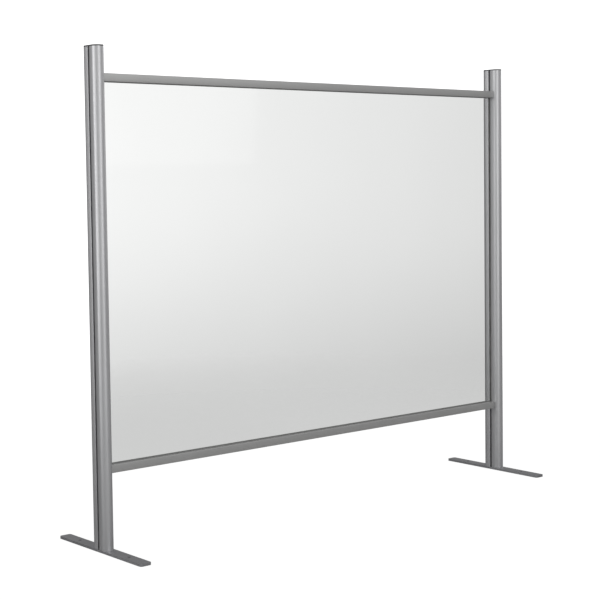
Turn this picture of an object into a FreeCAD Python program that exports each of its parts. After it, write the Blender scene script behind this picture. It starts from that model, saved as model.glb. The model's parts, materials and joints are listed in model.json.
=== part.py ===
import FreeCAD, Part
import os
from FreeCAD import Vector

# Counter-top sneeze guard: two obround T-slot posts on flat feet carry a glazed frame, which is a
# clear panel between two grooved rails. Flat T-headed lock plates in the rail ends hook behind the
# lips of the post slots. With their grub screws slackened, the glazed frame slides up and down.
# Frame: millimetres, +X along the panel, +Y towards the servers, +Z up.
# Origin: on the counter, midway between the posts, in the plane of the panel.

# Overall sizes
OVERALL_HEIGHT = 772.0
POST_PITCH = 895.0
PASS_GAP = 120.5
TOP_EXTENSION = 41.5

# Posts: an obround tube with a T-slot in each flat side and a screw port in each round lobe
POST_WIDTH = 19.0
POST_DEPTH = 39.0
POST_WALL = 1.6
SLOT_MOUTH = 4.0
SLOT_CAVITY = 9.6
SLOT_WEB = 1.8
SLOT_SIDE_WALL = 1.5
SLOT_LIP_RADIUS = 0.3
PORT_Y = 10.5
PORT_OUTER_RADIUS = 3.4
PORT_INNER_RADIUS = 2.0
PORT_RIB = 2.4

# Caps: a thin lid with four spring legs that stand in the post's lobes
CAP_THICKNESS = 2.0
CAP_EDGE_RADIUS = 0.5
CAP_LEG_X = (4.6, 7.2)
CAP_LEG_Y = (7.2, 11.8)
CAP_LEG_LENGTH = 10.0
CAP_LEG_CHAMFER = 0.8

# Feet: a flat bar under each post
FOOT_LENGTH = 230.0
FOOT_WIDTH = 20.0
FOOT_THICKNESS = 4.0
FOOT_CORNER_RADIUS = 4.0
FOOT_EDGE_RADIUS = 0.5
COUNTER_HOLE_SPACING = 138.0
COUNTER_HOLE_RADIUS = 2.5

# Countersunk screws that hold a foot to the screw ports of its post
POST_SCREW_RADIUS = 1.95
POST_SCREW_HEAD_RADIUS = 3.8
POST_SCREW_LENGTH = 16.0
POST_SCREW_RECESS = 0.2
POST_SCREW_HOLE_RADIUS = 2.2
COUNTERSINK_SLACK = 0.1

# Rails: a rectangular section with a groove for the panel and a flat chamber for the lock plates
RAIL_HEIGHT = 12.5
RAIL_DEPTH = 19.0
RAIL_SIDE_WALL = 1.3
RAIL_OUTER_WALL = 2.0
RAIL_CORNER_RADIUS = 0.6
RAIL_END_GAP = 0.1
GROOVE_WIDTH = 4.6
GROOVE_DEPTH = 5.8
GROOVE_WALL = 1.2

# Panel and its glazing strips
PANEL_THICKNESS = 3.0
PANEL_SLOT_BITE = 5.0
PANEL_CORNER_RADIUS = 1.5
GASKET_FLOOR = 0.8
GASKET_SIDE_SLACK = 0.05
GASKET_LIP_HEIGHT = 0.7
GASKET_LIP_WIDTH = 6.8
EDGE_SEAL_WALL = 0.4
EDGE_SEAL_FLOOR = 0.6
EDGE_SEAL_PROUD = 1.0
EDGE_SEAL_END_GAP = 0.3

# Lock plates in the rail ends, with two grub screws each
LOCK_THICKNESS = 3.0
LOCK_WIDTH = 15.6
LOCK_LENGTH = 34.0
LOCK_NECK_WIDTH = 3.6
LOCK_HEAD_WIDTH = 8.4
LOCK_HEAD_LENGTH = 2.5
LOCK_FACE_GAP = 0.1
LOCK_SETBACK = 0.4
LOCK_DIMPLE_DEPTH = 0.4
LOCK_DIMPLE_RADIUS = 1.85
GRUB_RADIUS = 1.95
GRUB_HOLE_RADIUS = 2.0
GRUB_RECESS = 0.15
GRUB_TIP_RADIUS = 1.2
GRUB_TIP_LENGTH = 0.6
GRUB_SOCKET_RADIUS = 1.15
GRUB_SOCKET_DEPTH = 1.2
GRUB_FROM_RAIL_END = (9.0, 24.0)

# Derived places
POST_X = POST_PITCH / 2
POST_RADIUS = POST_WIDTH / 2
LOBE_Y = POST_DEPTH / 2 - POST_RADIUS
POST_BOTTOM = FOOT_THICKNESS
POST_TOP = OVERALL_HEIGHT - CAP_THICKNESS
POST_FACE_X = POST_X - POST_RADIUS
SLOT_DEPTH = (POST_WIDTH - SLOT_WEB) / 2
CAVITY_WALL_Y = SLOT_CAVITY / 2 + SLOT_SIDE_WALL
RAIL_END_X = POST_FACE_X - RAIL_END_GAP
BOTTOM_RAIL_Z = PASS_GAP
TOP_RAIL_Z = OVERALL_HEIGHT - TOP_EXTENSION - RAIL_HEIGHT
GROOVE_FLOOR = RAIL_HEIGHT - GROOVE_DEPTH
CHAMBER_TOP = GROOVE_FLOOR - GROOVE_WALL
PANEL_INSET = GROOVE_FLOOR + GASKET_FLOOR
PANEL_BOTTOM = BOTTOM_RAIL_Z + PANEL_INSET
PANEL_TOP = TOP_RAIL_Z + RAIL_HEIGHT - PANEL_INSET
PANEL_EDGE_X = POST_FACE_X + PANEL_SLOT_BITE
LOCK_BOTTOM = (RAIL_OUTER_WALL + CHAMBER_TOP - LOCK_THICKNESS) / 2


def box(x, y, z):
    """A box from its low and high limits along each axis."""
    corner = Vector(x[0], y[0], z[0])
    return Part.makeBox(x[1] - x[0], y[1] - y[0], z[1] - z[0], corner)


def centred_box(x, width, z):
    """A box that is centred on the panel's plane."""
    return box(x, (-width / 2, width / 2), z)


def cylinder(radius, low, high, x, y):
    """An upright cylinder between two heights."""
    return Part.makeCylinder(radius, high - low, Vector(x, y, low))


def obround(radius, lobe_y, low, high):
    """An upright prism with two half-round ends, long side along Y."""
    middle = box((-radius, radius), (-lobe_y, lobe_y), (low, high))
    ends = [cylinder(radius, low, high, 0, side * lobe_y) for side in (-1, 1)]
    return middle.fuse(ends).removeSplitter()


def edges_along(shape, direction, near):
    """The straight edges that run along a direction and whose middles pass the test."""
    found = []
    for edge in shape.Edges:
        if not isinstance(edge.Curve, Part.Line):
            continue
        along = (edge.Vertexes[-1].Point - edge.Vertexes[0].Point).normalize()
        if abs(abs(along.dot(direction)) - 1) < 1e-6 and near(edge.CenterOfMass):
            found.append(edge)
    return found


def horizontal_edges_at(shape, height):
    """Every edge that lies flat at one height."""
    flat = []
    for edge in shape.Edges:
        bounds = edge.BoundBox
        if abs(bounds.ZMin - height) < 1e-6 and abs(bounds.ZMax - height) < 1e-6:
            flat.append(edge)
    return flat


def mirrored_in_x(shape):
    return shape.mirror(Vector(0, 0, 0), Vector(1, 0, 0))


def mirrored_in_y(shape):
    return shape.mirror(Vector(0, 0, 0), Vector(0, 1, 0))


def upside_down(shape):
    """Turns a bottom rail piece over to serve the top rail."""
    middle = (BOTTOM_RAIL_Z + TOP_RAIL_Z + RAIL_HEIGHT) / 2
    return shape.mirror(Vector(0, 0, middle), Vector(0, 0, 1))


def lobe_hollow(low, high):
    """The space inside one round lobe, with the screw port and its rib left standing."""
    hollow = cylinder(POST_RADIUS - POST_WALL, low, high, 0, LOBE_Y)
    behind_wall = box((-POST_WIDTH, POST_WIDTH), (-POST_DEPTH, CAVITY_WALL_Y), (low, high))
    port = cylinder(PORT_OUTER_RADIUS, low, high, 0, PORT_Y)
    rib = centred_box((-PORT_RIB / 2, PORT_RIB / 2), 2 * PORT_Y, (low, high))
    return hollow.cut([behind_wall, port, rib])


def post_extrusion():
    low, high = POST_BOTTOM, POST_TOP
    body = obround(POST_RADIUS, LOBE_Y, low, high)
    cavity_x = (SLOT_WEB / 2, POST_RADIUS - POST_WALL)
    cavity = centred_box(cavity_x, SLOT_CAVITY, (low, high))
    mouth = centred_box((cavity_x[0], POST_RADIUS + 1), SLOT_MOUTH, (low, high))
    slot = cavity.fuse(mouth)
    lobe = lobe_hollow(low, high)
    port = cylinder(PORT_INNER_RADIUS, low, high, 0, PORT_Y)
    cuts = [slot, mirrored_in_x(slot), lobe, mirrored_in_y(lobe), port, mirrored_in_y(port)]
    body = body.cut(cuts)

    def on_mouth(point):
        on_face = abs(abs(point.x) - POST_RADIUS) < 1e-6
        return on_face and abs(abs(point.y) - SLOT_MOUTH / 2) < 1e-6

    return body.makeFillet(SLOT_LIP_RADIUS, edges_along(body, Vector(0, 0, 1), on_mouth))


def post_cap():
    low, high = POST_TOP, OVERALL_HEIGHT
    lid = obround(POST_RADIUS, LOBE_Y, low, high)
    lid = lid.makeFillet(CAP_EDGE_RADIUS, horizontal_edges_at(lid, high))
    leg = box(CAP_LEG_X, CAP_LEG_Y, (low - CAP_LEG_LENGTH, low))
    leg = leg.makeChamfer(CAP_LEG_CHAMFER, horizontal_edges_at(leg, low - CAP_LEG_LENGTH))
    legs = [leg, mirrored_in_x(leg)]
    legs += [mirrored_in_y(one) for one in legs]
    return lid.fuse(legs)


def foot_plate():
    half = FOOT_LENGTH / 2
    plate = centred_box((-FOOT_WIDTH / 2, FOOT_WIDTH / 2), FOOT_LENGTH, (0, FOOT_THICKNESS))
    corners = edges_along(plate, Vector(0, 0, 1), lambda point: abs(abs(point.y) - half) < 1e-6)
    plate = plate.makeFillet(FOOT_CORNER_RADIUS, corners)
    plate = plate.makeFillet(FOOT_EDGE_RADIUS, horizontal_edges_at(plate, FOOT_THICKNESS))
    cuts = []
    for side in (-1, 1):
        counter_y = side * COUNTER_HOLE_SPACING / 2
        cuts.append(cylinder(COUNTER_HOLE_RADIUS, 0, FOOT_THICKNESS, 0, counter_y))
        cuts.append(cylinder(POST_SCREW_HOLE_RADIUS, 0, FOOT_THICKNESS, 0, side * PORT_Y))
        cuts.append(countersink(side * PORT_Y))
    return plate.cut(cuts)


def countersink(y):
    """The cone for a screw head, wide end on the underside of the foot."""
    wide = POST_SCREW_HEAD_RADIUS + COUNTERSINK_SLACK + POST_SCREW_RECESS
    return Part.makeCone(wide, POST_SCREW_HOLE_RADIUS, wide - POST_SCREW_HOLE_RADIUS, Vector(0, y, 0))


def post_screw(y):
    """A countersunk screw, driven up through the foot into a screw port."""
    head_height = POST_SCREW_HEAD_RADIUS - POST_SCREW_RADIUS
    base = Vector(0, y, POST_SCREW_RECESS)
    head = Part.makeCone(POST_SCREW_HEAD_RADIUS, POST_SCREW_RADIUS, head_height, base)
    shank = cylinder(POST_SCREW_RADIUS, POST_SCREW_RECESS, POST_SCREW_RECESS + POST_SCREW_LENGTH, 0, y)
    socket = hex_socket(GRUB_SOCKET_RADIUS, GRUB_SOCKET_DEPTH, 0, y, POST_SCREW_RECESS)
    return head.fuse(shank).removeSplitter().cut(socket)


def hex_socket(radius, depth, x, y, z):
    """A hexagon recess that opens downwards."""
    points = []
    for corner in range(7):
        turn = FreeCAD.Rotation(Vector(0, 0, 1), 60 * corner)
        points.append(Vector(x, y, z) + turn.multVec(Vector(radius, 0, 0)))
    return Part.Face(Part.makePolygon(points)).extrude(Vector(0, 0, depth))


def rail():
    """The bottom rail, groove upwards, with the tapped holes for its lock screws."""
    low, high = BOTTOM_RAIL_Z, BOTTOM_RAIL_Z + RAIL_HEIGHT
    span = (-RAIL_END_X, RAIL_END_X)
    body = centred_box(span, RAIL_DEPTH, (low, high))
    body = body.makeFillet(RAIL_CORNER_RADIUS, edges_along(body, Vector(1, 0, 0), lambda point: True))
    hollow_z = (low + RAIL_OUTER_WALL, high - RAIL_SIDE_WALL)
    hollow = centred_box(span, RAIL_DEPTH - 2 * RAIL_SIDE_WALL, hollow_z)
    groove_block = centred_box(span, GROOVE_WIDTH + 2 * GROOVE_WALL, (low + CHAMBER_TOP, high))
    groove = centred_box(span, GROOVE_WIDTH, (low + GROOVE_FLOOR, high))
    cuts = [hollow.cut(groove_block), groove]
    for x in grub_places():
        cuts.append(cylinder(GRUB_HOLE_RADIUS, low, low + RAIL_OUTER_WALL, x, 0))
    return body.cut(cuts)


def grub_places():
    """Where the lock screws stand along a rail, two near each end."""
    return [side * (RAIL_END_X - inset) for side in (-1, 1) for inset in GRUB_FROM_RAIL_END]


def panel():
    span = (-PANEL_EDGE_X, PANEL_EDGE_X)
    sheet = centred_box(span, PANEL_THICKNESS, (PANEL_BOTTOM, PANEL_TOP))
    corners = edges_along(sheet, Vector(0, 1, 0), lambda point: True)
    return sheet.makeFillet(PANEL_CORNER_RADIUS, corners)


def rail_gasket():
    """The glazing strip round the panel's lower edge, with a lip on each side of the groove."""
    span = (-RAIL_END_X, RAIL_END_X)
    rail_top = BOTTOM_RAIL_Z + RAIL_HEIGHT
    channel = centred_box(
        span, GROOVE_WIDTH - 2 * GASKET_SIDE_SLACK, (BOTTOM_RAIL_Z + GROOVE_FLOOR, rail_top)
    )
    lips = centred_box(span, GASKET_LIP_WIDTH, (rail_top, rail_top + GASKET_LIP_HEIGHT))
    space = centred_box(span, PANEL_THICKNESS, (PANEL_BOTTOM, rail_top + GASKET_LIP_HEIGHT))
    return channel.fuse(lips).cut(space)


def edge_seal():
    """The strip round the panel's upright edge on the +X side, inside the post slot."""
    gap = GASKET_LIP_HEIGHT + EDGE_SEAL_END_GAP
    height = (BOTTOM_RAIL_Z + RAIL_HEIGHT + gap, TOP_RAIL_Z - gap)
    inner_x = POST_FACE_X - EDGE_SEAL_PROUD
    channel = centred_box(
        (inner_x, PANEL_EDGE_X + EDGE_SEAL_FLOOR), PANEL_THICKNESS + 2 * EDGE_SEAL_WALL, height
    )
    return channel.cut(centred_box((inner_x, PANEL_EDGE_X), PANEL_THICKNESS, height))


def lock_plate():
    """A flat plate in the +X end of the bottom rail; its T-head hooks behind the slot lips."""
    low = BOTTOM_RAIL_Z + LOCK_BOTTOM
    height = (low, low + LOCK_THICKNESS)
    tail_end = RAIL_END_X - LOCK_SETBACK
    head_start = POST_FACE_X + POST_WALL + LOCK_FACE_GAP
    head_end = head_start + LOCK_HEAD_LENGTH
    tail = centred_box((tail_end - LOCK_LENGTH, tail_end), LOCK_WIDTH, height)
    neck = centred_box((tail_end - 1, head_end), LOCK_NECK_WIDTH, height)
    head = centred_box((head_start, head_end), LOCK_HEAD_WIDTH, height)
    plate = tail.fuse([neck, head]).removeSplitter()
    for inset in GRUB_FROM_RAIL_END:
        dimple = Part.makeCone(
            LOCK_DIMPLE_RADIUS,
            LOCK_DIMPLE_RADIUS - LOCK_DIMPLE_DEPTH,
            LOCK_DIMPLE_DEPTH,
            Vector(RAIL_END_X - inset, 0, low),
        )
        plate = plate.cut(dimple)
    return plate


def grub_screw(x):
    """A short grub screw in the outer wall of the bottom rail, its tip on the lock plate."""
    low = BOTTOM_RAIL_Z + GRUB_RECESS
    tip = BOTTOM_RAIL_Z + LOCK_BOTTOM + LOCK_DIMPLE_DEPTH
    body = cylinder(GRUB_RADIUS, low, tip - GRUB_TIP_LENGTH, x, 0)
    point = Part.makeCone(
        GRUB_RADIUS, GRUB_TIP_RADIUS, GRUB_TIP_LENGTH, Vector(x, 0, tip - GRUB_TIP_LENGTH)
    )
    socket = hex_socket(GRUB_SOCKET_RADIUS, GRUB_SOCKET_DEPTH, x, 0, low)
    return body.fuse(point).removeSplitter().cut(socket)


def moved_to_post(shape, side):
    return shape.translated(Vector(side * POST_X, 0, 0))


def upright_nodes():
    """The pieces of the two fixed uprights."""
    nodes = {}
    screws = Part.makeCompound([post_screw(side * PORT_Y) for side in (-1, 1)])
    for name, side in (("left", -1), ("right", 1)):
        nodes[f"{name}_post"] = moved_to_post(post_extrusion(), side)
        nodes[f"{name}_post_cap"] = moved_to_post(post_cap(), side)
        nodes[f"{name}_foot_plate"] = moved_to_post(foot_plate(), side)
        nodes[f"{name}_foot_screws"] = moved_to_post(screws, side)
    return nodes


def glazed_frame_nodes():
    """The pieces that slide together: panel, rails, strips and locks."""
    grubs = Part.makeCompound([grub_screw(x) for x in grub_places()])
    lower = {
        "rail": rail(),
        "rail_gasket": rail_gasket(),
        "lock_screws": grubs,
        "right_lock_plate": lock_plate(),
        "left_lock_plate": mirrored_in_x(lock_plate()),
    }
    nodes = {"clear_panel": panel()}
    for name, shape in lower.items():
        nodes[f"bottom_{name}"] = shape
        nodes[f"top_{name}"] = upside_down(shape)
    nodes["right_edge_seal"] = edge_seal()
    nodes["left_edge_seal"] = mirrored_in_x(edge_seal())
    return nodes


def main():
    os.makedirs("parts", exist_ok=True)
    nodes = {**upright_nodes(), **glazed_frame_nodes()}
    for name, shape in nodes.items():
        if not shape.isValid():
            raise ValueError(f"{name} is not a valid shape")
        shape.exportStep(f"parts/{name}.step")
        bounds = shape.BoundBox
        print(
            f"{name}: {len(shape.Solids)} solid(s), {shape.Volume:.1f} mm3, "
            f"z {bounds.ZMin:.2f} to {bounds.ZMax:.2f}"
        )


main()
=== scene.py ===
import json
import math

import bmesh
import bpy
from mathutils import Matrix, Vector

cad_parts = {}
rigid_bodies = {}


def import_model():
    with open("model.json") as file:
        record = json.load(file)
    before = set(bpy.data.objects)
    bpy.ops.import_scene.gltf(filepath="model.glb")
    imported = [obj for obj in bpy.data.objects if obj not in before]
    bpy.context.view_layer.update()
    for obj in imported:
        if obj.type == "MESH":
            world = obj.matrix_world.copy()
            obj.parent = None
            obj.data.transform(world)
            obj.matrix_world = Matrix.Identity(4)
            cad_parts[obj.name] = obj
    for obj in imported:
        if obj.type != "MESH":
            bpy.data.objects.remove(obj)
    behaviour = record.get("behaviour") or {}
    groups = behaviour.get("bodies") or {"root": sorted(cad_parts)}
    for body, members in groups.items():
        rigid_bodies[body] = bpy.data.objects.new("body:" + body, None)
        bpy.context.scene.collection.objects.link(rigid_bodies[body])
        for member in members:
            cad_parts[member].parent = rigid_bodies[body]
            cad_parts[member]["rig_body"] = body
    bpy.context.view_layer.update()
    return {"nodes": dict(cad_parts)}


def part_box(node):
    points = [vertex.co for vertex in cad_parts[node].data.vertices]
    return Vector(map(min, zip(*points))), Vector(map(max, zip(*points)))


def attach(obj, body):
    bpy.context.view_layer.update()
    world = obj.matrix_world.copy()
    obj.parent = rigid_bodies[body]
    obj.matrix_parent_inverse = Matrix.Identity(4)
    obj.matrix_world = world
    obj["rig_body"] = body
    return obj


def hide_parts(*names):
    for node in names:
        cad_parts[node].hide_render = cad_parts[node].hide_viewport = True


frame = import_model()

# Lengths are in metres. Section sizes repeat those of the CAD model; places come from the frame.
MM = 0.001

# Post section
POST_WALL = 1.6 * MM
SLOT_MOUTH = 4.0 * MM
SLOT_CAVITY = 9.6 * MM
SLOT_WEB = 1.8 * MM
SLOT_LIP_RADIUS = 0.3 * MM
SLOT_SIDE_WALL = 1.5 * MM
PORT_Y = 10.5 * MM
LOBE_STEPS = 48
POST_EDGE = 0.1 * MM

# Rail section
RAIL_SIDE_WALL = 1.3 * MM
RAIL_OUTER_WALL = 2.0 * MM
RAIL_CORNER_RADIUS = 0.6 * MM
GROOVE_WIDTH = 4.6 * MM
GROOVE_DEPTH = 5.8 * MM
GROOVE_WALL = 1.2 * MM
GRUB_HOLE_RADIUS = 2.0 * MM
RAIL_EDGE = 0.12 * MM

# Glazing
PANEL_THICKNESS = 3.0 * MM
PANEL_CORNER_RADIUS = 1.5 * MM
PANEL_EDGE = 0.2 * MM
GASKET_FLOOR = 0.8 * MM
GASKET_LIP_HEIGHT = 0.7 * MM
GASKET_CHANNEL = 4.5 * MM
GASKET_RADIUS = 0.3 * MM
SEAL_FLOOR = 0.6 * MM
SEAL_RADIUS = 0.15 * MM

# Caps and feet
CAP_THICKNESS = 2.0 * MM
CAP_EDGE_RADIUS = 0.5 * MM
CAP_LEG_X = 5.9 * MM
CAP_LEG_Y = 9.5 * MM
CAP_LEG_HALF_WIDTH = 1.3 * MM
CAP_LEG_HALF_LENGTH = 2.3 * MM
CAP_LEG_CORNER_RADIUS = 0.3 * MM
FOOT_CORNER_RADIUS = 4.0 * MM
FOOT_EDGE_RADIUS = 0.5 * MM
COUNTER_HOLE_SPACING = 138.0 * MM
COUNTER_HOLE_RADIUS = 2.5 * MM
FOOT_SCREW_HOLE_RADIUS = 2.2 * MM
COUNTERSINK_RADIUS = 4.1 * MM

# Meshes: angles in degrees, and how far a cutting tool reaches past the face it cuts
SHARP_ANGLE = 30
MACHINED_ANGLE = 60
MERGE_DISTANCE = 0.001 * MM
TOOL_REACH = 0.5 * MM

# Surfaces: linear colours, and grains in turns per metre along each axis
POST_TONE = (0.64, 0.643, 0.654)
RAIL_TONE = (0.60, 0.60, 0.595)
FOOT_TONE = (0.40, 0.40, 0.415)
STEEL_TONE = (0.55, 0.55, 0.56)
CAP_TONE = (0.07, 0.07, 0.073)
RUBBER_TONE = (0.25, 0.25, 0.247)
EXTRUSION_ROUGHNESS = 0.40
FOOT_ROUGHNESS = 0.45
STEEL_ROUGHNESS = 0.32
CAP_ROUGHNESS = 0.55
RUBBER_ROUGHNESS = 0.6
POST_GRAIN = (2600, 2600, 4)
RAIL_GRAIN = (4, 2600, 2600)
SCUFF_GRAIN = (110, 900, 110)
FOOT_GRAIN = 1400
STEEL_GRAIN = 2200
CAP_GRAIN = 1500
RUBBER_GRAIN = 900
ACRYLIC_TINT = (0.93, 0.9335, 0.93)
ACRYLIC_LIGHT_PASSED = (1.0, 1.0, 1.0)
ACRYLIC_GLOSS = 0.04
GLANCING_POWER = 5.0

# Camera: a long lens to the front left, a little above the middle of the panel
CAMERA_PLACE = Vector((-1.6005, -1.8212, 0.5654))
CAMERA_YAW = math.radians(40.52)
CAMERA_PITCH = math.radians(3.352)
CAMERA_ROLL = math.radians(-0.713)
CAMERA_LENS = 84.42
CAMERA_SENSOR = 36.0
CAMERA_SHIFT_Y = -0.0624
CAMERA_NEAR = 0.05
CAMERA_FAR = 50

# Floor: a ray that sets out closer to it than the clearance passes, so undersides are lit.
# Pairs are a value at the first and at the last of a range.
FLOOR_RADIUS = 2.2
FLOOR_SIDES = 96
FLOOR_FADE_RANGE = (0.4 * FLOOR_RADIUS, 0.98 * FLOOR_RADIUS)
FLOOR_GAP = 0.2 * MM
FLOOR_CLEARANCE = 0.8 * MM
FLOOR_ROUGHNESS = 0.9
FLOOR_GLOW = 1.35
FLOOR_GLOW_SHARE = 0.65
FLOOR_SEEN = (0.80, 0.80, 0.80)
# Painted shade: rays other than the camera's see the floor darker, more so towards the rear.
FLOOR_REFLECTED = (0.56, 0.30)
FLOOR_REFLECTED_RANGE_Y = (-0.3, 0.2)

# Backdrop: plain white in the open; where it is seen through the sheet it is painted shade, dimmer, paler
# upwards and darker to the camera's right
OPEN_BACKDROP = (1.3, 1.3, 1.3)
BEHIND_SHEET = 0.7216
SHEET_FACES_PASSED = (1.5, 2.0)
BACKDROP_RISE = (1.06, 1.56)
BACKDROP_RISE_RANGE = (-0.22, 0.0)
BACKDROP_FALL = (1.0, 0.80)
BACKDROP_FALL_RANGE = (-0.134, 0.131)

# Room: what metal reflects, brighter upwards and dimmer to the rear
ROOM_LEVEL = (0.16, 0.55)
ROOM_LEVEL_RANGE = (-0.3, 0.4)
ROOM_REAR = (1.0, 0.68)
ROOM_REAR_RANGE = (0.1, 0.5)
ROOM_REAR_WAY = (0.55, 0.83, 0.0)

# Soft boxes: name, place, the point each one faces, width, height and watts
SOFT_BOXES = (
    ("left_box", (-2.5, 0.1, 0.8), (-0.2, 0, 0.5), 1.8, 1.6, 7.9),
    ("right_box", (-0.45, -1.8, 0.85), (-0.2, 0, 0.5), 1.0, 1.6, 5.6),
    ("camera_box", (-2.2, -2.5, 0.7), (-0.2, 0, 0.5), 2.0, 1.5, 4.2),
    ("rear_box", (-4.2, 2.2, 0.85), (0.3, 0, 0.5), 1.8, 2.4, 15.5),
    ("edge_box", (0.85, -1.9, 1.2), (-0.2, 0, 0.6), 0.9, 1.2, 1.3),
    ("side_box", (2.9, -0.1, 0.9), (0.1, 0, 0.4), 1.8, 1.6, 6.5),
)


# ---------------------------------------------------------------- outlines

def arc(centre, radius, start, end, steps):
    """Points along a circle, angles in degrees, both ends included."""
    points = []
    for step in range(steps + 1):
        angle = math.radians(start + (end - start) * step / steps)
        points.append((centre[0] + radius * math.cos(angle), centre[1] + radius * math.sin(angle)))
    return points


def circle(centre, radius, steps=32):
    """A full circle, without its end point repeated."""
    return arc(centre, radius, 0, 360, steps)[:-1]


def rounded(corners, radii, steps=5):
    """A closed outline whose corners are rounded by the given radii; 0 leaves a corner sharp."""
    points = []
    count = len(corners)
    for index, (corner, radius) in enumerate(zip(corners, radii)):
        here = Vector(corner)
        if radius == 0:
            points.append(tuple(here))
            continue
        back = (Vector(corners[index - 1]) - here).normalized()
        ahead = (Vector(corners[(index + 1) % count]) - here).normalized()
        half = back.angle(ahead) / 2
        centre = here + (back + ahead).normalized() * radius / math.sin(half)
        first = here + back * radius / math.tan(half) - centre
        last = here + ahead * radius / math.tan(half) - centre
        sweep = first.angle_signed(last)
        for step in range(steps + 1):
            turned = first.copy()
            turned.rotate(Matrix.Rotation(-sweep * step / steps, 2))
            points.append(tuple(centre + turned))
    return points


def rectangle(low_u, high_u, low_v, high_v, radius=0.0, steps=5):
    """A rectangle with all four corners rounded alike."""
    corners = [(low_u, low_v), (high_u, low_v), (high_u, high_v), (low_u, high_v)]
    return rounded(corners, [radius] * 4, steps)


# ---------------------------------------------------------------- meshes

def link(name, mesh):
    """Puts a mesh into the scene as an object."""
    piece = bpy.data.objects.new(name, mesh)
    bpy.context.scene.collection.objects.link(piece)
    return piece


def prism(name, loops, low, high, axis="Z"):
    """A solid with a flat outline and its holes, drawn out along X or Z between two heights."""
    curve = bpy.data.curves.new(name, "CURVE")
    curve.dimensions = "2D"
    curve.fill_mode = "BOTH"
    curve.extrude = (high - low) / 2
    for loop in loops:
        spline = curve.splines.new("POLY")
        spline.points.add(len(loop) - 1)
        for point, (u, v) in zip(spline.points, loop):
            point.co = (u, v, 0, 1)
        spline.use_cyclic_u = True
    holder = bpy.data.objects.new(name, curve)
    mesh = bpy.data.meshes.new_from_object(holder)
    bpy.data.objects.remove(holder)
    bpy.data.curves.remove(curve)
    mesh.name = name
    mesh.materials.clear()
    mesh.transform(Matrix.Translation((0, 0, (low + high) / 2)))
    if axis == "X":
        mesh.transform(Matrix(((0, 0, 1, 0), (1, 0, 0, 0), (0, 1, 0, 0), (0, 0, 0, 1))))
    shape = bmesh.new()
    shape.from_mesh(mesh)
    bmesh.ops.remove_doubles(shape, verts=shape.verts, dist=MERGE_DISTANCE)
    bmesh.ops.recalc_face_normals(shape, faces=shape.faces)
    shape.to_mesh(mesh)
    shape.free()
    smooth(mesh)
    return link(name, mesh)


def smooth(mesh):
    """Smooth shading, broken at every edge sharper than the limit."""
    for face in mesh.polygons:
        face.use_smooth = True
    mesh.set_sharp_from_angle(angle=math.radians(SHARP_ANGLE))


def apply_modifiers(piece):
    """Turns a piece's modifiers into its mesh."""
    graph = bpy.context.evaluated_depsgraph_get()
    mesh = bpy.data.meshes.new_from_object(piece.evaluated_get(graph), depsgraph=graph)
    old = piece.data
    piece.modifiers.clear()
    piece.data = mesh
    mesh.name = old.name
    bpy.data.meshes.remove(old)


def combine(piece, tools, operation):
    """Cuts the tools out of a piece, or joins them to it, and removes the tools."""
    for tool in tools:
        boolean = piece.modifiers.new("combine", "BOOLEAN")
        boolean.operation = operation
        boolean.solver = "EXACT"
        boolean.object = tool
    apply_modifiers(piece)
    for tool in tools:
        bpy.data.objects.remove(tool)


def ease_edges(piece, width, segments=2, angle=40):
    """Breaks the sharp edges, as a deburred or moulded part has them."""
    bevel = piece.modifiers.new("ease", "BEVEL")
    bevel.width = width
    bevel.segments = segments
    bevel.limit_method = "ANGLE"
    bevel.angle_limit = math.radians(angle)
    bevel.harden_normals = True
    bevel.use_clamp_overlap = True


def cone(name, low_radius, high_radius, low, high, x, y, steps=40):
    """An upright cone or cylinder, as a cutting tool."""
    shape = bmesh.new()
    bmesh.ops.create_cone(
        shape, cap_ends=True, segments=steps, radius1=low_radius, radius2=high_radius, depth=high - low
    )
    mesh = bpy.data.meshes.new(name)
    shape.to_mesh(mesh)
    shape.free()
    mesh.transform(Matrix.Translation((x, y, (low + high) / 2)))
    return link(name, mesh)


def finish_piece(piece, node, material):
    """Puts a piece in the place of its CAD node, on the same body."""
    piece.data.materials.clear()
    piece.data.materials.append(material)
    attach(piece, frame["nodes"][node]["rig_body"])
    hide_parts(node)


def islands(node):
    """The centre of each separate solid of a CAD node."""
    shape = bmesh.new()
    shape.from_mesh(frame["nodes"][node].data)
    bmesh.ops.remove_doubles(shape, verts=shape.verts, dist=MERGE_DISTANCE)
    left = set(shape.verts)
    centres = []
    while left:
        stack = [left.pop()]
        low, high = stack[0].co.copy(), stack[0].co.copy()
        while stack:
            vert = stack.pop()
            low = Vector(map(min, low, vert.co))
            high = Vector(map(max, high, vert.co))
            for edge in vert.link_edges:
                other = edge.other_vert(vert)
                if other in left:
                    left.remove(other)
                    stack.append(other)
        centres.append((low + high) / 2)
    shape.free()
    return sorted(centres, key=lambda centre: tuple(centre))


# ---------------------------------------------------------------- materials

def new_material(name):
    """A node material; returns it with its tree and its Principled shader."""
    material = bpy.data.materials.new(name)
    material.use_nodes = True
    tree = material.node_tree
    return material, tree, tree.nodes["Principled BSDF"]


def node(tree, kind, inputs=(), **settings):
    """Adds a node; inputs are pairs of socket and a value or another node's output."""
    made = tree.nodes.new(kind)
    for key, value in settings.items():
        setattr(made, key, value)
    for socket, value in inputs:
        if isinstance(value, bpy.types.NodeSocket):
            tree.links.new(value, made.inputs[socket])
        else:
            made.inputs[socket].default_value = value
    return made


def stretched_noise(tree, scale, detail=4.0, roughness=0.55):
    """Noise with its own scale along each axis, in turns per metre."""
    place = node(tree, "ShaderNodeTexCoord")
    stretch = node(tree, "ShaderNodeMapping", [("Vector", place.outputs["Object"]), ("Scale", scale)])
    noise = node(
        tree,
        "ShaderNodeTexNoise",
        [
            ("Vector", stretch.outputs["Vector"]),
            ("Scale", 1.0),
            ("Detail", detail),
            ("Roughness", roughness),
        ],
    )
    return noise.outputs["Fac"]


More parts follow.
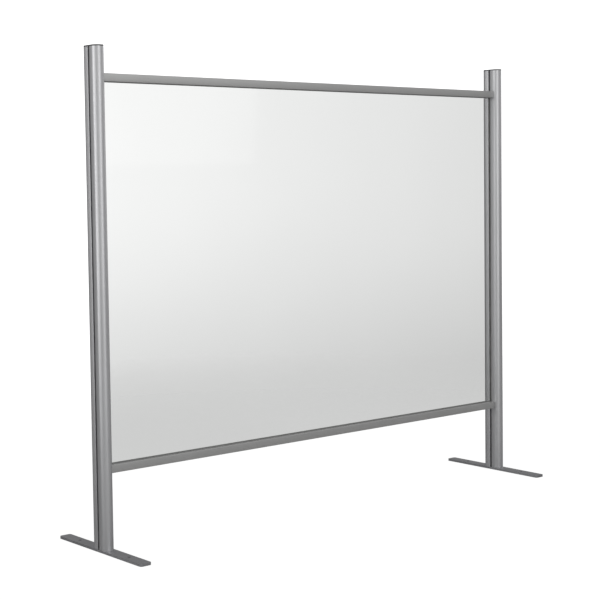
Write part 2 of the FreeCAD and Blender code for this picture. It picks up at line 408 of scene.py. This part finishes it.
def mapped(tree, value, low, high, from_low=0.3, from_high=0.7, curve="LINEAR"):
    """Carries one range of a value to another, held at its ends."""
    spread = node(
        tree,
        "ShaderNodeMapRange",
        [
            ("Value", value),
            ("From Min", from_low),
            ("From Max", from_high),
            ("To Min", low),
            ("To Max", high),
        ],
        interpolation_type=curve,
    )
    return spread.outputs["Result"]


def mix_colour(tree, factor, first, second):
    """A colour mix whose inputs are colours or sockets."""
    mix = tree.nodes.new("ShaderNodeMix")
    mix.data_type = "RGBA"
    for index, value in ((0, factor), (6, first), (7, second)):
        if isinstance(value, bpy.types.NodeSocket):
            tree.links.new(value, mix.inputs[index])
        elif index == 0:
            mix.inputs[index].default_value = value
        else:
            mix.inputs[index].default_value = (*value, 1)
    return mix.outputs[2]


def maths(tree, operation, first, second):
    """One step of arithmetic on values or sockets."""
    return node(tree, "ShaderNodeMath", [(0, first), (1, second)], operation=operation).outputs[0]


def dot_product(tree, first, second):
    """The dot product of two vectors or sockets."""
    product = node(tree, "ShaderNodeVectorMath", [(0, first), (1, second)], operation="DOT_PRODUCT")
    return product.outputs["Value"]


def mix_shaders(tree, factor, first, second):
    """Goes from the first shader to the second as the factor goes from 0 to 1."""
    return node(tree, "ShaderNodeMixShader", [(0, factor), (1, first), (2, second)]).outputs[0]


def edge_mask(tree, radius):
    """1 on rounded-over edges and 0 on flats, from how much a bevelled normal leans away."""
    bevel = node(tree, "ShaderNodeBevel", [("Radius", radius)], samples=6)
    plain = node(tree, "ShaderNodeNewGeometry")
    leaning = dot_product(tree, bevel.outputs["Normal"], plain.outputs["Normal"])
    return mapped(tree, leaning, 1.0, 0.0, from_low=0.80, from_high=0.995)


def scaled(tone, factor):
    """A colour made darker or paler."""
    return tuple(channel * factor for channel in tone)


def clouded(tree, tone, scale, detail, darkest, palest):
    """A tone that drifts between two strengths."""
    clouds = stretched_noise(tree, scale, detail=detail)
    return mix_colour(tree, mapped(tree, clouds, 0, 1), scaled(tone, darkest), scaled(tone, palest))


def paler_along_edges(tree, colour, tone, width, share, palest):
    """A colour that turns partly paler along the edges."""
    amount = maths(tree, "MULTIPLY", edge_mask(tree, width), share)
    return mix_colour(tree, amount, colour, scaled(tone, palest))


def add_relief(tree, shader, height, strength, depth):
    """Gives a surface fine relief from a noise."""
    bump = node(tree, "ShaderNodeBump", [("Strength", strength), ("Distance", depth), ("Height", height)])
    tree.links.new(bump.outputs["Normal"], shader.inputs["Normal"])


def extruded_aluminium(name, tone, grain):
    """Satin anodised aluminium with fine die lines along the extrusion and paler edges."""
    material, tree, shader = new_material(name)
    die_lines = stretched_noise(tree, grain, detail=5.0)
    base = clouded(tree, tone, (9, 9, 9), detail=3.0, darkest=0.96, palest=1.03)
    lined = mix_colour(tree, mapped(tree, die_lines, 0, 0.6), base, scaled(tone, 0.88))
    colour = paler_along_edges(tree, lined, tone, width=0.5 * MM, share=0.35, palest=1.25)
    tree.links.new(colour, shader.inputs["Base Color"])
    shader.inputs["Metallic"].default_value = 1.0
    rough = mapped(tree, die_lines, EXTRUSION_ROUGHNESS - 0.05, EXTRUSION_ROUGHNESS + 0.05)
    tree.links.new(rough, shader.inputs["Roughness"])
    add_relief(tree, shader, die_lines, strength=0.25, depth=0.03 * MM)
    return material


def satin_metal(name, tone, roughness, grain):
    """Flat bar or plate with a fine even grain, cloudy tone, faint scuffs and paler edges."""
    material, tree, shader = new_material(name)
    fine = stretched_noise(tree, (grain, grain, grain), detail=3.0)
    base = clouded(tree, tone, (30, 30, 30), detail=4.0, darkest=0.90, palest=1.06)
    rubs = mapped(tree, stretched_noise(tree, SCUFF_GRAIN, detail=4.0), 0, 0.32, 0.56, 0.70)
    scuffed = mix_colour(tree, rubs, base, scaled(tone, 1.30))
    colour = paler_along_edges(tree, scuffed, tone, width=0.6 * MM, share=0.3, palest=1.35)
    tree.links.new(colour, shader.inputs["Base Color"])
    shader.inputs["Metallic"].default_value = 1.0
    tree.links.new(mapped(tree, fine, roughness - 0.06, roughness + 0.08), shader.inputs["Roughness"])
    add_relief(tree, shader, fine, strength=0.35, depth=0.04 * MM)
    return material


def moulded(name, tone, roughness, grain, depth):
    """Rubber or plastic with a fine moulded grain and a little bloom."""
    material, tree, shader = new_material(name)
    fine = stretched_noise(tree, (grain, grain, grain), detail=2.0)
    colour = clouded(tree, tone, (60, 60, 60), detail=4.0, darkest=0.85, palest=1.2)
    tree.links.new(colour, shader.inputs["Base Color"])
    tree.links.new(mapped(tree, fine, roughness - 0.08, roughness + 0.08), shader.inputs["Roughness"])
    add_relief(tree, shader, fine, strength=0.25, depth=depth)
    return material


def clear_acrylic(name):
    """Clear sheet: what is behind shows through a slight grey tint, under a smooth gloss."""
    material, tree, shader = new_material(name)
    tree.nodes.remove(shader)
    output = tree.nodes["Material Output"]
    seen = clouded(tree, ACRYLIC_TINT, (3, 3, 3), detail=2.0, darkest=0.995, palest=1.005)
    direct = node(tree, "ShaderNodeLightPath").outputs["Is Camera Ray"]
    tint = mix_colour(tree, direct, ACRYLIC_LIGHT_PASSED, seen)
    clear = node(tree, "ShaderNodeBsdfTransparent", [("Color", tint)])
    wipe = stretched_noise(tree, (40, 6, 22), detail=5.0)
    gloss = node(tree, "ShaderNodeBsdfGlossy", [("Roughness", mapped(tree, wipe, 0.03, 0.07))])
    facing = node(tree, "ShaderNodeLayerWeight", [("Blend", 0.5)])
    glancing = maths(tree, "POWER", facing.outputs["Facing"], GLANCING_POWER)
    mirror = mapped(tree, glancing, ACRYLIC_GLOSS, 1.0, 0.0, 1.0)
    surface = mix_shaders(tree, mirror, clear.outputs[0], gloss.outputs[0])
    tree.links.new(surface, output.inputs["Surface"])
    return material


MATERIALS = {
    "post": extruded_aluminium("post_anodised", POST_TONE, POST_GRAIN),
    "rail": extruded_aluminium("rail_anodised", RAIL_TONE, RAIL_GRAIN),
    "foot": satin_metal("foot_satin", FOOT_TONE, FOOT_ROUGHNESS, FOOT_GRAIN),
    "cap": moulded("cap_plastic", CAP_TONE, CAP_ROUGHNESS, CAP_GRAIN, 0.03 * MM),
    "rubber": moulded("glazing_rubber", RUBBER_TONE, RUBBER_ROUGHNESS, RUBBER_GRAIN, 0.04 * MM),
    "steel": satin_metal("zinc_steel", STEEL_TONE, STEEL_ROUGHNESS, STEEL_GRAIN),
    "acrylic": clear_acrylic("clear_acrylic"),
}


# ---------------------------------------------------------------- pieces

def post_outline(radius, lobe_y):
    """The outside of a post and both its T-slots, as one loop about the post's own centre."""
    cavity_x = SLOT_WEB / 2
    lip_x = radius - POST_WALL
    mouth = SLOT_MOUTH / 2
    cavity = SLOT_CAVITY / 2
    lip = SLOT_LIP_RADIUS
    half_slot = arc((-radius + lip, mouth + lip), lip, 180, 270, 4)
    half_slot += [(-lip_x, mouth), (-lip_x, cavity), (-cavity_x, cavity)]
    left_slot = half_slot + [(u, -v) for u, v in reversed(half_slot)]
    right_slot = [(-u, -v) for u, v in left_slot]
    top_lobe = arc((0, lobe_y), radius, 0, 180, LOBE_STEPS)
    bottom_lobe = arc((0, -lobe_y), radius, 180, 360, LOBE_STEPS)
    return top_lobe + left_slot + bottom_lobe + right_slot


def lobe_hole(radius, lobe_y, side):
    """The hollow of one lobe: its round inside, with the flat wall next to the slot."""
    inner = radius - POST_WALL
    wall_y = SLOT_CAVITY / 2 + SLOT_SIDE_WALL
    start = math.degrees(math.asin((wall_y - lobe_y) / inner))
    points = arc((0, lobe_y), inner, start, 180 - start, LOBE_STEPS)
    return [(u, side * v) for u, v in points]


def build_post(side_name):
    """A post drawn out along its section, over the height of its CAD node."""
    low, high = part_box(f"{side_name}_post")
    centre = (low + high) / 2
    radius = (high.x - low.x) / 2
    lobe_y = (high.y - low.y) / 2 - radius
    loops = [post_outline(radius, lobe_y)]
    loops += [lobe_hole(radius, lobe_y, side) for side in (-1, 1)]
    post = prism(f"{side_name}_upright", loops, low.z, high.z)
    post.data.transform(Matrix.Translation((centre.x, centre.y, 0)))
    ease_edges(post, POST_EDGE)
    finish_piece(post, f"{side_name}_post", MATERIALS["post"])


def obround(radius, lobe_y):
    """Two half circles joined by straight sides."""
    top_lobe = arc((0, lobe_y), radius, 0, 180, LOBE_STEPS)
    bottom_lobe = arc((0, -lobe_y), radius, 180, 360, LOBE_STEPS)
    return top_lobe + bottom_lobe


def build_cap(side_name):
    """A lid the size of the post, with four legs that go down into its hollows."""
    low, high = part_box(f"{side_name}_post_cap")
    centre = (low + high) / 2
    radius = (high.x - low.x) / 2
    lobe_y = (high.y - low.y) / 2 - radius
    lid = prism(f"{side_name}_cap", [obround(radius, lobe_y)], high.z - CAP_THICKNESS, high.z)
    legs = []
    for x_side in (-1, 1):
        for y_side in (-1, 1):
            outline = rectangle(
                x_side * CAP_LEG_X - CAP_LEG_HALF_WIDTH,
                x_side * CAP_LEG_X + CAP_LEG_HALF_WIDTH,
                y_side * CAP_LEG_Y - CAP_LEG_HALF_LENGTH,
                y_side * CAP_LEG_Y + CAP_LEG_HALF_LENGTH,
                CAP_LEG_CORNER_RADIUS,
            )
            legs.append(prism("leg", [outline], low.z, high.z - CAP_THICKNESS / 2))
    combine(lid, legs, "UNION")
    lid.data.transform(Matrix.Translation((centre.x, centre.y, 0)))
    smooth(lid.data)
    ease_edges(lid, CAP_EDGE_RADIUS, segments=3, angle=MACHINED_ANGLE)
    finish_piece(lid, f"{side_name}_post_cap", MATERIALS["cap"])


def build_foot(side_name):
    """A foot plate with its counter holes, and countersunk holes from below for the post screws."""
    low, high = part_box(f"{side_name}_foot_plate")
    centre = (low + high) / 2
    half_width = (high.x - low.x) / 2
    half_length = (high.y - low.y) / 2
    outline = rectangle(-half_width, half_width, -half_length, half_length, FOOT_CORNER_RADIUS, 10)
    loops = [outline]
    for side in (-1, 1):
        loops.append(circle((0, side * COUNTER_HOLE_SPACING / 2), COUNTER_HOLE_RADIUS))
    plate = prism(f"{side_name}_foot", loops, low.z, high.z)
    cuts = []
    for side in (-1, 1):
        y = side * PORT_Y
        hole = FOOT_SCREW_HOLE_RADIUS
        depth = COUNTERSINK_RADIUS - hole
        cuts.append(cone("sink", COUNTERSINK_RADIUS + TOOL_REACH, hole, -TOOL_REACH, depth, 0, y))
        cuts.append(cone("hole", hole, hole, depth / 2, 2 * high.z, 0, y))
    combine(plate, cuts, "DIFFERENCE")
    plate.data.transform(Matrix.Translation((centre.x, centre.y, 0)))
    smooth(plate.data)
    ease_edges(plate, FOOT_EDGE_RADIUS, segments=3, angle=MACHINED_ANGLE)
    finish_piece(plate, f"{side_name}_foot_plate", MATERIALS["foot"])


def set_in_frame(piece, end_name, low, high):
    """Lifts a piece made groove up at height 0 to its place; at the top it is turned over first."""
    if end_name == "top":
        piece.data.transform(Matrix.Rotation(math.pi, 4, "X"))
        piece.data.transform(Matrix.Translation((0, 0, high.z)))
    else:
        piece.data.transform(Matrix.Translation((0, 0, low.z)))


def build_rail(end_name):
    """A grooved rail. The top one is the bottom one turned over, groove down."""
    low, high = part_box(f"{end_name}_rail")
    depth = (high.y - low.y) / 2
    height = high.z - low.z
    lip = RAIL_CORNER_RADIUS
    groove = GROOVE_WIDTH / 2
    floor = height - GROOVE_DEPTH
    corners = [
        (-depth, 0), (depth, 0), (depth, height), (groove, height),
        (groove, floor), (-groove, floor), (-groove, height), (-depth, height),
    ]
    outline = rounded(corners, [lip, lip, lip, lip / 3, lip / 3, lip / 3, lip / 3, lip])
    inner = depth - RAIL_SIDE_WALL
    shoulder = groove + GROOVE_WALL
    ceiling = height - RAIL_SIDE_WALL
    chamber = [
        (-inner, RAIL_OUTER_WALL), (inner, RAIL_OUTER_WALL), (inner, ceiling), (shoulder, ceiling),
        (shoulder, floor - GROOVE_WALL), (-shoulder, floor - GROOVE_WALL), (-shoulder, ceiling),
        (-inner, ceiling),
    ]
    rail = prism(f"{end_name}_frame_rail", [outline, chamber], low.x, high.x, axis="X")
    drills = []
    for centre in islands(f"{end_name}_lock_screws"):
        hole = GRUB_HOLE_RADIUS
        drills.append(
            cone("drill", hole, hole, -2 * TOOL_REACH, RAIL_OUTER_WALL + TOOL_REACH, centre.x, 0)
        )
    combine(rail, drills, "DIFFERENCE")
    set_in_frame(rail, end_name, low, high)
    smooth(rail.data)
    ease_edges(rail, RAIL_EDGE, angle=MACHINED_ANGLE)
    finish_piece(rail, f"{end_name}_rail", MATERIALS["rail"])


def build_rail_gasket(end_name):
    """The glazing strip: a channel round the panel's edge, with a soft lip over the groove's rims."""
    low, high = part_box(f"{end_name}_rail_gasket")
    lip_half = (high.y - low.y) / 2
    height = high.z - low.z
    shoulder = height - GASKET_LIP_HEIGHT
    channel = GASKET_CHANNEL / 2
    sheet = PANEL_THICKNESS / 2
    floor = GASKET_FLOOR
    right = [
        (channel, 0), (channel, shoulder), (lip_half, shoulder),
        (lip_half, height), (sheet, height), (sheet, floor),
    ]
    corners = right + [(-u, v) for u, v in reversed(right)]
    soft = GASKET_RADIUS
    radii = [soft, 0, soft / 3, 1.6 * soft, 0, 0]
    outline = rounded(corners, radii + radii[::-1])
    strip = prism(f"{end_name}_glazing_strip", [outline], low.x, high.x, axis="X")
    set_in_frame(strip, end_name, low, high)
    finish_piece(strip, f"{end_name}_rail_gasket", MATERIALS["rubber"])


def build_edge_seal(side_name):
    """The strip round the panel's upright edge: a slim channel that opens towards the panel."""
    low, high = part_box(f"{side_name}_edge_seal")
    side = 1 if side_name == "right" else -1
    open_x, closed_x = (low.x, high.x) if side == 1 else (high.x, low.x)
    half = (high.y - low.y) / 2
    sheet = PANEL_THICKNESS / 2
    floor_x = closed_x - side * SEAL_FLOOR
    corners = [
        (open_x, half), (closed_x, half), (closed_x, -half), (open_x, -half),
        (open_x, -sheet), (floor_x, -sheet), (floor_x, sheet), (open_x, sheet),
    ]
    soft = SEAL_RADIUS
    outline = rounded(corners, [soft, soft, soft, soft, soft, 0, 0, soft], 3)
    seal = prism(f"{side_name}_edge_strip", [outline], low.z, high.z)
    finish_piece(seal, f"{side_name}_edge_seal", MATERIALS["rubber"])


def build_panel():
    """The clear sheet, drawn out along its thickness."""
    low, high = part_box("clear_panel")
    outline = rectangle(low.x, high.x, low.z, high.z, PANEL_CORNER_RADIUS, 6)
    panel = prism("clear_sheet", [outline], low.y, high.y)
    panel.data.transform(Matrix.Rotation(math.pi / 2, 4, "X"))
    ease_edges(panel, PANEL_EDGE)
    finish_piece(panel, "clear_panel", MATERIALS["acrylic"])


def dress_hidden_metal():
    """The lock plates and screws keep their CAD shape and get a plated steel surface."""
    for name, cad_piece in frame["nodes"].items():
        if name.endswith(("lock_plate", "screws")):
            cad_piece.data.materials.clear()
            cad_piece.data.materials.append(MATERIALS["steel"])


for side_name in ("left", "right"):
    build_post(side_name)
    build_cap(side_name)
    build_foot(side_name)
    build_edge_seal(side_name)
for end_name in ("top", "bottom"):
    build_rail(end_name)
    build_rail_gasket(end_name)
build_panel()
dress_hidden_metal()


# ---------------------------------------------------------------- stage, light and camera

def past_sheet(tree, path):
    """0 for a ray in the open, 1 for one that has passed both faces of the sheet."""
    return mapped(tree, path.outputs["Transparent Depth"], 0.0, 1.0, *SHEET_FACES_PASSED)


def build_floor():
    """A pale disc under the guard, seen from above only, that fades into the backdrop."""
    shape = bmesh.new()
    bmesh.ops.create_circle(shape, cap_ends=True, segments=FLOOR_SIDES, radius=FLOOR_RADIUS)
    mesh = bpy.data.meshes.new("floor")
    shape.to_mesh(mesh)
    shape.free()
    mesh.transform(Matrix.Translation((0, 0, -FLOOR_GAP)))
    floor = link("floor", mesh)
    material, tree, shader = new_material("floor_pale")
    output = tree.nodes["Material Output"]
    shader.inputs["Roughness"].default_value = FLOOR_ROUGHNESS
    shader.inputs["Specular IOR Level"].default_value = 0.0
    path = node(tree, "ShaderNodeLightPath")
    # Painted shade: seen through the sheet, the floor's glow and colour are dimmed as the backdrop is
    # there.
    behind = past_sheet(tree, path)
    strength = mapped(tree, behind, FLOOR_GLOW, FLOOR_GLOW * BEHIND_SHEET, 0.0, 1.0)
    glow = node(tree, "ShaderNodeEmission", [("Color", (1, 1, 1, 1)), ("Strength", strength)])
    seen = path.outputs["Is Camera Ray"]
    direct = mix_colour(tree, behind, FLOOR_SEEN, scaled(FLOOR_SEEN, BEHIND_SHEET))
    place = node(tree, "ShaderNodeTexCoord").outputs["Object"]
    depth = node(tree, "ShaderNodeSeparateXYZ", [("Vector", place)]).outputs["Y"]
    # Painted shade: the floor's colour for rays other than the camera's is darker, and darkens towards
    # the rear.
    reflected = mapped(tree, depth, *FLOOR_REFLECTED, *FLOOR_REFLECTED_RANGE_Y)
    tree.links.new(mix_colour(tree, seen, reflected, direct), shader.inputs["Base Color"])
    share = mapped(tree, seen, 0.0, FLOOR_GLOW_SHARE, 0.0, 1.0)
    lit = mix_shaders(tree, share, shader.outputs[0], glow.outputs[0])
    away = node(tree, "ShaderNodeVectorMath", [(0, place)], operation="LENGTH")
    fade = mapped(tree, away.outputs["Value"], 0.0, 1.0, *FLOOR_FADE_RANGE)
    below = node(tree, "ShaderNodeNewGeometry").outputs["Backfacing"]
    near = maths(tree, "LESS_THAN", path.outputs["Ray Length"], FLOOR_CLEARANCE)
    hidden = maths(tree, "MAXIMUM", fade, maths(tree, "MAXIMUM", below, near))
    clear = node(tree, "ShaderNodeBsdfTransparent")
    tree.links.new(mix_shaders(tree, hidden, lit, clear.outputs[0]), output.inputs["Surface"])
    mesh.materials.append(material)


def build_world():
    """A white backdrop for what is seen directly, with painted shade where it is seen through the sheet,
    and a dimmer room for what metal reflects.
    """
    world = bpy.data.worlds.new("studio")
    bpy.context.scene.world = world
    world.use_nodes = True
    tree = world.node_tree
    tree.nodes.clear()
    output = node(tree, "ShaderNodeOutputWorld")
    ray = node(tree, "ShaderNodeTexCoord").outputs["Generated"]
    height = node(tree, "ShaderNodeSeparateXYZ", [("Vector", ray)]).outputs["Z"]
    room_level = mapped(tree, height, *ROOM_LEVEL, *ROOM_LEVEL_RANGE)
    rearward = dot_product(tree, ray, ROOM_REAR_WAY)
    rear_level = mapped(tree, rearward, *ROOM_REAR, *ROOM_REAR_RANGE, "SMOOTHSTEP")
    room_light = maths(tree, "MULTIPLY", room_level, rear_level)
    room = node(tree, "ShaderNodeBackground", [("Color", (1, 1, 1, 1)), ("Strength", room_light)])
    # Painted shade: through the sheet the backdrop is dimmed, paler upwards and darker to the camera's
    # right.
    rise = mapped(tree, height, *BACKDROP_RISE, *BACKDROP_RISE_RANGE, "SMOOTHSTEP")
    camera_right = (math.cos(CAMERA_YAW), -math.sin(CAMERA_YAW), 0)
    across = dot_product(tree, ray, camera_right)
    fall = mapped(tree, across, *BACKDROP_FALL, *BACKDROP_FALL_RANGE)
    dimmed = maths(tree, "MULTIPLY", maths(tree, "MULTIPLY", rise, fall), BEHIND_SHEET)
    path = node(tree, "ShaderNodeLightPath")
    shown = mix_colour(tree, past_sheet(tree, path), OPEN_BACKDROP, dimmed)
    backdrop = node(tree, "ShaderNodeBackground", [("Color", shown)])
    surface = mix_shaders(tree, path.outputs["Is Camera Ray"], room.outputs[0], backdrop.outputs[0])
    tree.links.new(surface, output.inputs["Surface"])


def build_softbox(name, place, target, width, height, power):
    """A rectangular area light turned to face a point."""
    lamp = bpy.data.lights.new(name, "AREA")
    lamp.shape = "RECTANGLE"
    lamp.size = width
    lamp.size_y = height
    lamp.energy = power
    holder = bpy.data.objects.new(name, lamp)
    holder.location = place
    holder.rotation_mode = "QUATERNION"
    holder.rotation_quaternion = (Vector(target) - Vector(place)).to_track_quat("-Z", "Y")
    bpy.context.scene.collection.objects.link(holder)


def build_camera():
    """The camera of the main view."""
    data = bpy.data.cameras.new("camera")
    data.lens = CAMERA_LENS
    data.sensor_width = CAMERA_SENSOR
    data.shift_y = CAMERA_SHIFT_Y
    data.clip_start = CAMERA_NEAR
    data.clip_end = CAMERA_FAR
    data.dof.use_dof = False
    camera = bpy.data.objects.new("camera", data)
    turn = (
        Matrix.Rotation(-CAMERA_YAW, 4, "Z")
        @ Matrix.Rotation(math.pi / 2 - CAMERA_PITCH, 4, "X")
        @ Matrix.Rotation(CAMERA_ROLL, 4, "Z")
    )
    camera.matrix_world = Matrix.Translation(CAMERA_PLACE) @ turn
    bpy.context.scene.collection.objects.link(camera)
    bpy.context.scene.camera = camera


bpy.context.scene.view_settings.view_transform = "Standard"
build_floor()
build_world()
for soft_box in SOFT_BOXES:
    build_softbox(*soft_box)
build_camera()
